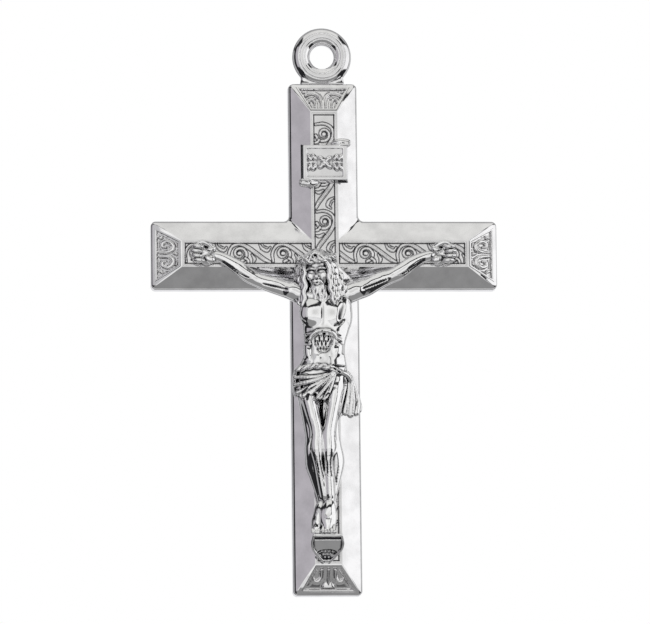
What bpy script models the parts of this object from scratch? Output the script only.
"""Hanging crucifix: a bevelled cross with inlaid scroll strips and end panels, a title plaque,
a hanging eye, and a cast figure held by three nails over a foot rest.

Frame: metres, +Z up, the front faces -Y, and the origin is the centre of the eye's hole.
The cross is a low hipped roof: a side wall, four sloping bevels round each arm, and a flat ridge.
The strips lie in a channel along the ridge, and the panels in pockets in the hipped ends.
"""

import math

import bmesh
import bpy
from mathutils import Matrix, Vector

MM = 0.001

# Driving dimensions
ARM_WIDTH = 7.0 * MM
HALF_SPAN = 17.55 * MM
TOP_Z = -2.85 * MM
BOTTOM_Z = -55.0 * MM
CROSSING_Z = -20.45 * MM
BACK_Y = 0.95 * MM
EDGE_Y = -0.7 * MM
RIDGE_Y = -2.0 * MM
STRIP_WIDTH = 2.45 * MM
LAND = 0.15 * MM
HIP_LENGTH = 3.05 * MM
EDGE_ROUND = 0.22 * MM

# Inlays: how deep they sit, how far they stand proud, and the solder gap round them
INLAY_DEPTH = 0.34 * MM
INLAY_PROUD = 0.06 * MM
GAP = 0.03 * MM
INLAY_FACE_Y = RIDGE_Y - INLAY_PROUD

# Hanging eye: a ring, cut flat where a flared neck and a peg seat it on the top end
EYE_MAJOR = 2.08 * MM
EYE_MINOR = 0.92 * MM
EYE_AROUND = 32
EYE_SECTION = 12
EYE_SEAT_Z = TOP_Z + GAP
EYE_NECK_Y = (-0.6 * MM, 0.85 * MM)
EYE_NECK = [(2.0 * MM, 0), (1.6 * MM, 0.25 * MM), (1.1 * MM, 0.85 * MM)]
EYE_PEG_RADIUS = 0.4 * MM
EYE_PEG_LENGTH = 1.5 * MM
EYE_PEG_Y = 0.3 * MM

# Nails and pegs, each with a tail that fills a countersink in the back
SHANK_RADIUS = 0.24 * MM
PEG_RADIUS = 0.32 * MM
TAIL_FLARE = 0.2 * MM
TAIL_DEPTH = 0.3 * MM
ROUND_SIDES = 12

# Title plaque
PLAQUE_Z = -11.3 * MM
PLAQUE_FACE = (4.2 * MM, 2.75 * MM)
PLAQUE_BASE = (4.9 * MM, 3.35 * MM)
PLAQUE_THICKNESS = 0.95 * MM
PLAQUE_PEG_OFFSET = 0.9 * MM
CURL_RADIUS = 0.5 * MM

# Foot rest
REST_TOP_Z = -49.15 * MM
REST_TIP_Z = -51.85 * MM
REST_HALF_WIDTH = 1.6 * MM
REST_FRONT_Y = -4.6 * MM

# Figure
FIGURE_X = -0.25 * MM
FIGURE_BACK_Y = INLAY_FACE_Y - GAP
HAND_X = 12.15 * MM
FOOT_NAIL_X = -0.2 * MM
FOOT_NAIL_Z = -47.5 * MM
NAIL_SEATS = {"left_hand": -2.85 * MM, "right_hand": -2.85 * MM, "feet": -4.5 * MM}
NAIL_HEAD_RADIUS = 0.42 * MM
NAIL_HEAD_HEIGHT = 0.3 * MM
LIMB_SIDES = 10

CUTTER_REACH = 1.5 * MM


def clear_scene():
    for obj in list(bpy.data.objects):
        bpy.data.objects.remove(obj, do_unlink=True)


def polished_metal(name, colour, roughness):
    material = bpy.data.materials.new(name)
    material.use_nodes = True
    shader = material.node_tree.nodes["Principled BSDF"]
    shader.inputs["Base Color"].default_value = (*colour, 1.0)
    shader.inputs["Metallic"].default_value = 1.0
    shader.inputs["Roughness"].default_value = roughness
    return material


def make_object(name, bm, material=None):
    """The bmesh as an object. Without a material it is a cutter, which isn't part of the crucifix."""
    bmesh.ops.recalc_face_normals(bm, faces=bm.faces)
    mesh = bpy.data.meshes.new(name)
    bm.to_mesh(mesh)
    bm.free()
    obj = bpy.data.objects.new(name, mesh)
    bpy.context.scene.collection.objects.link(obj)
    if material is None:
        obj.hide_render = True
        obj.display_type = "WIRE"
    else:
        mesh.materials.append(material)
    return obj


def boolean(obj, other, operation="DIFFERENCE"):
    modifier = obj.modifiers.new(other.name, "BOOLEAN")
    modifier.operation = operation
    modifier.object = other
    modifier.solver = "EXACT"


def ring_stack(rings):
    """A bmesh through rings of as many points each, closed by a face at both ends."""
    bm = bmesh.new()
    loops = [[bm.verts.new(point) for point in ring] for ring in rings]
    count = len(loops[0])
    for low, high in zip(loops, loops[1:]):
        for i in range(count):
            j = (i + 1) % count
            bm.faces.new((low[i], low[j], high[j], high[i]))
    bm.faces.new(loops[0])
    bm.faces.new(list(reversed(loops[-1])))
    return bm


def prism(outline, low, high, frame=Matrix.Identity(4)):
    """The outline's (u, v) points swept from low to high along the frame's third axis."""
    rings = [[frame @ Vector((u, v, w)) for u, v in outline] for w in (low, high)]
    return ring_stack(rings)


def rectangle(low_u, high_u, low_v, high_v):
    return [(low_u, low_v), (high_u, low_v), (high_u, high_v), (low_u, high_v)]


def turned(profile, x, z, sides=ROUND_SIDES):
    """A solid turned about the line through (x, z) along Y. The profile is (radius, y) points."""
    turns = [2 * math.pi * i / sides for i in range(sides)]
    rings = [
        [Vector((x + r * math.cos(a), y, z + r * math.sin(a))) for a in turns]
        for r, y in profile
    ]
    return ring_stack(rings)


def tailed_profile(radius, front_y):
    """A shank that ends in a countersunk tail, flush with the back of the cross."""
    return [(radius, front_y), (radius, BACK_Y - TAIL_DEPTH), (radius + TAIL_FLARE, BACK_Y)]


def hole_profile(radius):
    """The hole for such a shank, right through the cross, with its countersink."""
    full = radius + GAP
    return [
        (full, RIDGE_Y - CUTTER_REACH),
        (full, BACK_Y - TAIL_DEPTH - GAP),
        (full + TAIL_FLARE, BACK_Y - GAP / 2),
        (full + TAIL_FLARE, BACK_Y + CUTTER_REACH),
    ]


def cross_outline(half_width, half_span, top, bottom):
    """The cross's twelve corners as (x, z), clockwise from the top arm's left corner."""
    upper, lower = CROSSING_Z + half_width, CROSSING_Z - half_width
    right = [
        (half_width, top),
        (half_width, upper),
        (half_span, upper),
        (half_span, lower),
        (half_width, lower),
        (half_width, bottom),
    ]
    left = [(-x, z) for x, z in reversed(right)]
    return right + left


def hipped_cross():
    """Side wall, rounded edge, bevels and flat ridge, from the back to the front."""
    inset = (ARM_WIDTH - STRIP_WIDTH) / 2 - LAND
    levels = [
        (BACK_Y, 0, 0),
        (EDGE_Y + EDGE_ROUND, 0, 0),
        (EDGE_Y + 0.3 * EDGE_ROUND, 0.3 * EDGE_ROUND, 0.3 * EDGE_ROUND),
        (EDGE_Y, EDGE_ROUND, EDGE_ROUND),
        (RIDGE_Y, inset, HIP_LENGTH),
    ]
    rings = [
        [
            (x, y, z)
            for x, z in cross_outline(
                ARM_WIDTH / 2 - side, HALF_SPAN - end, TOP_Z - end, BOTTOM_Z + end
            )
        ]
        for y, side, end in levels
    ]
    return ring_stack(rings)


def hip_frames():
    """For each hipped end: its name, its half span, and the frame of its slope.

    The frame's u runs across the arm, v down the slope from the ridge, and w out of the metal.
    """
    run = HIP_LENGTH - EDGE_ROUND
    rise = EDGE_Y - RIDGE_Y
    ends = {
        "top": (Vector((0, RIDGE_Y, TOP_Z - HIP_LENGTH)), Vector((0, 0, 1))),
        "bottom": (Vector((0, RIDGE_Y, BOTTOM_Z + HIP_LENGTH)), Vector((0, 0, -1))),
        "left": (Vector((HIP_LENGTH - HALF_SPAN, RIDGE_Y, CROSSING_Z)), Vector((-1, 0, 0))),
        "right": (Vector((HALF_SPAN - HIP_LENGTH, RIDGE_Y, CROSSING_Z)), Vector((1, 0, 0))),
    }
    frames = {}
    for end, (start, outward) in ends.items():
        down = (outward * run + Vector((0, rise, 0))).normalized()
        across = outward.cross(Vector((0, 1, 0))).normalized()
        normal = across.cross(down)
        frame = Matrix((across, down, normal)).transposed().to_4x4()
        frame.translation = start
        frames[end] = frame
    return frames, math.hypot(run, rise)


def panel_outline(slope_length, slack):
    """A trapezoid that widens down the slope, inside the hips by a land and less the slack."""
    narrow = STRIP_WIDTH / 2 - slack
    wide = ARM_WIDTH / 2 - EDGE_ROUND - 2 * LAND - slack
    top, foot = LAND + slack, slope_length - LAND - slack
    return [(-narrow, top), (narrow, top), (wide, foot), (-wide, foot)]


def strip_boxes(slack):
    """Each strip's rectangle on the ridge, less the slack, as (low x, high x, low z, high z)."""
    half = STRIP_WIDTH / 2
    top_end, low_end = TOP_Z - HIP_LENGTH - LAND, BOTTOM_Z + HIP_LENGTH + LAND
    side_end = HALF_SPAN - HIP_LENGTH - LAND
    boxes = {
        "upper": (-half, half, CROSSING_Z - half, top_end),
        "lower": (-half, half, low_end, CROSSING_Z - half),
        "left": (-side_end, -half, CROSSING_Z - half, CROSSING_Z + half),
        "right": (half, side_end, CROSSING_Z - half, CROSSING_Z + half),
    }
    return {
        name: (low_x + slack, high_x - slack, low_z + slack, high_z - slack)
        for name, (low_x, high_x, low_z, high_z) in boxes.items()
    }


def shanks():
    """Every shank that passes through the cross: (name, radius, x, z)."""
    return [
        ("left_hand", SHANK_RADIUS, FIGURE_X - HAND_X, CROSSING_Z),
        ("right_hand", SHANK_RADIUS, FIGURE_X + HAND_X, CROSSING_Z),
        ("feet", SHANK_RADIUS, FOOT_NAIL_X, FOOT_NAIL_Z),
        ("plaque_upper", PEG_RADIUS, 0, PLAQUE_Z + PLAQUE_PEG_OFFSET),
        ("plaque_lower", PEG_RADIUS, 0, PLAQUE_Z - PLAQUE_PEG_OFFSET),
        ("foot_rest", PEG_RADIUS, 0, (REST_TOP_Z + REST_TIP_Z) / 2),
    ]


def xz_prism(outline, low_y, high_y):
    """An (x, z) outline swept along Y."""
    rings = [[(x, y, z) for x, z in outline] for y in (low_y, high_y)]
    return ring_stack(rings)


def shank_cutters():
    return [
        make_object(f"hole_{name}", turned(hole_profile(radius), x, z))
        for name, radius, x, z in shanks()
    ]


def make_body(metal, holes):
    body = make_object("cross_body", hipped_cross(), metal)
    boxes = strip_boxes(0.0)
    low_x, high_x, crossing_low, high_z = boxes["upper"]
    upright = rectangle(low_x, high_x, boxes["lower"][2], high_z)
    across = rectangle(boxes["left"][0], boxes["right"][1], crossing_low, boxes["left"][3])
    for name, outline in (("channel_upright", upright), ("channel_across", across)):
        channel = xz_prism(outline, RIDGE_Y - CUTTER_REACH, RIDGE_Y + INLAY_DEPTH)
        boolean(body, make_object(name, channel))
    frames, slope_length = hip_frames()
    for end, frame in frames.items():
        pocket = prism(panel_outline(slope_length, 0.0), -INLAY_DEPTH, CUTTER_REACH, frame)
        boolean(body, make_object(f"pocket_{end}", pocket))
    for hole in holes:
        boolean(body, hole)
    boolean(body, make_object("hole_eye_peg", eye_peg(EYE_PEG_RADIUS + GAP, GAP)))


def make_strips(metal, holes):
    """The four strips, each pierced by the shanks that pass through it."""
    floor = RIDGE_Y + INLAY_DEPTH - GAP
    for name, box in strip_boxes(GAP).items():
        strip = make_object(
            f"scroll_strip_{name}", xz_prism(rectangle(*box), INLAY_FACE_Y, floor), metal
        )
        low_x, high_x, low_z, high_z = box
        for hole, (_, _, x, z) in zip(holes, shanks()):
            if low_x < x < high_x and low_z < z < high_z:
                boolean(strip, hole)


def make_panels(metal):
    frames, slope_length = hip_frames()
    outline = panel_outline(slope_length, GAP)
    for end, frame in frames.items():
        make_object(
            f"end_panel_{end}", prism(outline, GAP - INLAY_DEPTH, INLAY_PROUD, frame), metal
        )


def eye_peg(radius, slack=0.0):
    """A round peg down into the top end of the cross."""
    turns = [2 * math.pi * i / ROUND_SIDES for i in range(ROUND_SIDES)]
    heights = (TOP_Z - EYE_PEG_LENGTH - slack, TOP_Z + EYE_MINOR)
    rings = [
        [(radius * math.cos(a), EYE_PEG_Y + radius * math.sin(a), z) for a in turns]
        for z in heights
    ]
    return ring_stack(rings)


def make_eye(metal):
    """A round-section ring in the plane of the cross, with the neck and the peg that hold it."""
    bm = bmesh.new()
    loops = []
    for i in range(EYE_AROUND):
        turn = 2 * math.pi * i / EYE_AROUND
        loop = []
        for j in range(EYE_SECTION):
            roll = 2 * math.pi * j / EYE_SECTION
            reach = EYE_MAJOR + EYE_MINOR * math.cos(roll)
            depth = EYE_MINOR * math.sin(roll)
            loop.append(bm.verts.new((reach * math.cos(turn), depth, reach * math.sin(turn))))
        loops.append(loop)
    for here, there in zip(loops, loops[1:] + loops[:1]):
        for j in range(EYE_SECTION):
            k = (j + 1) % EYE_SECTION
            bm.faces.new((here[j], there[j], there[k], here[k]))
    eye = make_object("hanging_eye", bm, metal)
    eye.data.shade_smooth()
    below = rectangle(-4 * MM, 4 * MM, EYE_SEAT_Z - 3 * MM, EYE_SEAT_Z)
    boolean(eye, make_object("eye_seat", xz_prism(below, -3 * MM, 3 * MM)))
    neck = ring_stack(
        [
            [(x, y, EYE_SEAT_Z + rise) for x, y in rectangle(-half, half, *EYE_NECK_Y)]
            for half, rise in EYE_NECK
        ]
    )
    boolean(eye, make_object("eye_neck", neck), "UNION")
    boolean(eye, make_object("eye_peg", eye_peg(EYE_PEG_RADIUS)), "UNION")


def make_nails(metal):
    """Nails with a low domed head, a shank through the cross, and a tail in the countersink."""
    for name, radius, x, z in shanks():
        if name not in NAIL_SEATS:
            continue
        seat = NAIL_SEATS[name] - GAP
        head = [
            (0.45 * NAIL_HEAD_RADIUS, seat - NAIL_HEAD_HEIGHT),
            (0.85 * NAIL_HEAD_RADIUS, seat - 0.6 * NAIL_HEAD_HEIGHT),
            (NAIL_HEAD_RADIUS, seat),
        ]
        nail = make_object(f"nail_{name}", turned(head + tailed_profile(radius, seat), x, z), metal)
        nail.data.shade_smooth()
        nail.data.set_sharp_from_angle(angle=math.radians(35))


def make_plaque(metal):
    """A drafted block with two curled corners, cast with the two pegs that hold it."""
    seat = INLAY_FACE_Y - GAP
    face = seat - PLAQUE_THICKNESS
    rings = []
    for (width, height), y in ((PLAQUE_BASE, seat), (PLAQUE_FACE, face)):
        outline = rectangle(
            -width / 2, width / 2, PLAQUE_Z - height / 2, PLAQUE_Z + height / 2
        )
        rings.append([(x, y, z) for x, z in outline])
    plaque = make_object("title_plaque", ring_stack(rings), metal)
    for corner in (1, -1):
        x = corner * (PLAQUE_BASE[0] / 2 - 0.7 * MM)
        z = PLAQUE_Z + corner * (PLAQUE_BASE[1] / 2 + 0.25 * MM)
        curl = turned(
            [(CURL_RADIUS, seat - 0.1 * MM), (CURL_RADIUS, face + 0.2 * MM)], x, z
        )
        boolean(plaque, make_object(f"plaque_curl_{corner}", curl), "UNION")
    for name, radius, x, z in shanks():
        if name.startswith("plaque"):
            peg = turned(tailed_profile(radius, seat - 0.3 * MM), x, z)
            boolean(plaque, make_object(f"peg_{name}", peg), "UNION")


def make_foot_rest(metal):
    """A corbel: a flat top for the feet, an upright front, and an underside that tapers back."""
    seat = INLAY_FACE_Y - GAP
    front_foot_z = REST_TOP_Z - 1.5 * MM
    stations = [
        (REST_TOP_Z, 1.0, REST_FRONT_Y),
        (front_foot_z, 1.05, REST_FRONT_Y + 0.1 * MM),
        (REST_TIP_Z, 0.5, seat - 0.35 * MM),
    ]
    rings = []
    for z, share, front in stations:
        half = share * REST_HALF_WIDTH
        rings.append(
            [
                (FIGURE_X + x, y, z)
                for x, y in (
                    (-half, seat),
                    (-half, front + 0.3 * half),
                    (-0.7 * half, front),
                    (0.7 * half, front),
                    (half, front + 0.3 * half),
                    (half, seat),
                )
            ]
        )
    rest = make_object("foot_rest", ring_stack(rings), metal)
    for name, radius, x, z in shanks():
        if name == "foot_rest":
            peg = turned(tailed_profile(radius, seat - 0.2 * MM), x, z)
            boolean(rest, make_object("peg_foot_rest", peg), "UNION")


def limb(stations, sides=LIMB_SIDES):
    """A tube through stations of (x, y, z, half width, half depth), in millimetres."""
    centres = [Vector(station[:3]) * MM for station in stations]
    rings = []
    for i, (_, _, _, wide, deep) in enumerate(stations):
        before, after = centres[max(i - 1, 0)], centres[min(i + 1, len(centres) - 1)]
        along = (after - before).normalized()
        side = along.cross(Vector((0, 1, 0))).normalized()
        forward = side.cross(along)
        ring = []
        for k in range(sides):
            turn = 2 * math.pi * k / sides
            offset = side * wide * math.cos(turn) + forward * deep * math.sin(turn)
            ring.append(centres[i] + offset * MM)
        rings.append(ring)
    return ring_stack(rings)


# The figure's limbs as (x, y, z, half width, half depth) in millimetres, from top to foot.
TORSO = [
    (-0.4, -3.3, -23.9, 1.2, 0.7),
    (-0.4, -3.55, -24.7, 2.4, 1.1),
    (-0.4, -3.7, -26.3, 2.45, 1.3),
    (-0.4, -3.7, -27.9, 2.3, 1.35),
    (-0.45, -3.4, -29.6, 2.1, 1.1),
    (-0.5, -3.3, -31.2, 2.15, 1.1),
    (-0.6, -3.5, -32.8, 2.8, 1.35),
    (-0.65, -3.6, -34.6, 2.75, 1.45),
    (-0.65, -3.7, -35.9, 2.5, 1.3),
]
HEAD = [
    (-0.75, -3.9, -19.95, 0.8, 0.6),
    (-0.75, -4.05, -20.5, 1.6, 1.15),
    (-0.7, -4.15, -21.8, 2.05, 1.45),
    (-0.6, -4.2, -23.2, 2.05, 1.4),
    (-0.45, -4.2, -24.6, 1.8, 1.2),
    (-0.35, -4.4, -25.9, 0.9, 0.8),
]
SHOULDER_LOCKS = [
    (-0.45, -3.7, -23.0, 2.3, 0.9),
    (-0.4, -3.8, -25.0, 2.5, 0.95),
    (-0.4, -3.9, -27.0, 1.9, 0.85),
]
RIGHT_ARM = [
    (14.0, -2.55, -19.8, 0.35, 0.35),
    (13.1, -2.65, -20.1, 0.7, 0.45),
    (11.9, -2.65, -20.45, 0.85, 0.45),
    (10.85, -2.75, -20.8, 0.45, 0.45),
    (9.5, -2.9, -21.5, 0.6, 0.55),
    (7.9, -3.0, -22.5, 0.7, 0.65),
    (5.7, -3.15, -23.4, 0.72, 0.7),
    (3.1, -3.4, -24.5, 0.95, 0.85),
    (1.1, -3.5, -25.3, 1.0, 0.9),
]
LEFT_LEG = [
    (-1.9, -3.6, -34.8, 1.35, 1.25),
    (-1.75, -4.0, -36.6, 1.2, 1.15),
    (-1.5, -4.3, -38.8, 1.0, 1.0),
    (-1.6, -4.3, -40.6, 0.95, 0.9),
    (-1.5, -3.6, -42.6, 0.85, 0.9),
    (-1.0, -3.1, -44.6, 0.62, 0.7),
    (-0.8, -3.1, -46.0, 0.55, 0.65),
    (-1.0, -3.3, -47.4, 0.6, 0.7),
    (-1.3, -3.5, -49.05, 0.65, 0.75),
]
RIGHT_LEG = [
    (0.6, -3.6, -34.8, 1.35, 1.25),
    (0.45, -4.0, -36.6, 1.2, 1.15),
    (0.3, -4.3, -38.8, 1.0, 1.0),
    (0.45, -4.35, -40.6, 0.95, 0.9),
    (0.6, -3.8, -42.2, 0.9, 0.9),
    (0.25, -3.6, -44.4, 0.65, 0.7),
    (-0.05, -3.7, -46.0, 0.58, 0.65),
    (-0.2, -3.8, -47.5, 0.75, 0.75),
    (-0.25, -3.75, -49.05, 0.75, 0.8),
]
CLOTH_TAIL = [
    (1.3, -3.2, -31.9, 0.5, 0.5),
    (2.0, -2.95, -33.5, 0.75, 0.5),
    (2.6, -2.75, -35.5, 0.95, 0.45),
    (2.6, -2.6, -36.8, 0.9, 0.35),
]


def mirrored(stations, centre_x):
    """The same limb on the other side of a plane at centre_x millimetres."""
    return [(2 * centre_x - x, y, z, wide, deep) for x, y, z, wide, deep in stations]


def make_corpus(metal):
    """The figure as one casting, flat behind where it rests on the strips, pierced for the nails."""
    corpus = make_object("corpus", limb(TORSO, 12), metal)
    parts = {
        "head": limb(HEAD, 12),
        "shoulder_locks": limb(SHOULDER_LOCKS, 12),
        "arm_right": limb(RIGHT_ARM),
        "arm_left": limb(mirrored(RIGHT_ARM, FIGURE_X / MM)),
        "leg_left": limb(LEFT_LEG),
        "leg_right": limb(RIGHT_LEG),
        "cloth_tail": limb(CLOTH_TAIL),
    }
    for name, bm in parts.items():
        boolean(corpus, make_object(f"figure_{name}", bm), "UNION")
    behind = rectangle(-HALF_SPAN, HALF_SPAN, BOTTOM_Z, TOP_Z)
    boolean(corpus, make_object("figure_back", xz_prism(behind, FIGURE_BACK_Y, 4 * MM)))
    under = rectangle(-ARM_WIDTH, ARM_WIDTH, BOTTOM_Z, REST_TOP_Z + GAP)
    boolean(corpus, make_object("figure_sole", xz_prism(under, -8 * MM, 0)))
    for name, radius, x, z in shanks():
        if name not in NAIL_SEATS:
            continue
        shaft = turned([(radius + GAP, -7 * MM), (radius + GAP, MM)], x, z)
        boolean(corpus, make_object(f"shaft_{name}", shaft))
        recess_radius = NAIL_HEAD_RADIUS + 2 * GAP
        recess = turned([(recess_radius, -7 * MM), (recess_radius, NAIL_SEATS[name])], x, z)
        boolean(corpus, make_object(f"recess_{name}", recess))


def main():
    clear_scene()
    bright = polished_metal("polished_silver", (0.86, 0.86, 0.88), 0.12)
    satin = polished_metal("relief_silver", (0.74, 0.74, 0.76), 0.25)
    holes = shank_cutters()
    make_body(bright, holes)
    make_strips(satin, holes)
    make_panels(satin)
    make_eye(bright)
    make_plaque(bright)
    make_foot_rest(bright)
    make_corpus(bright)
    make_nails(bright)


main()
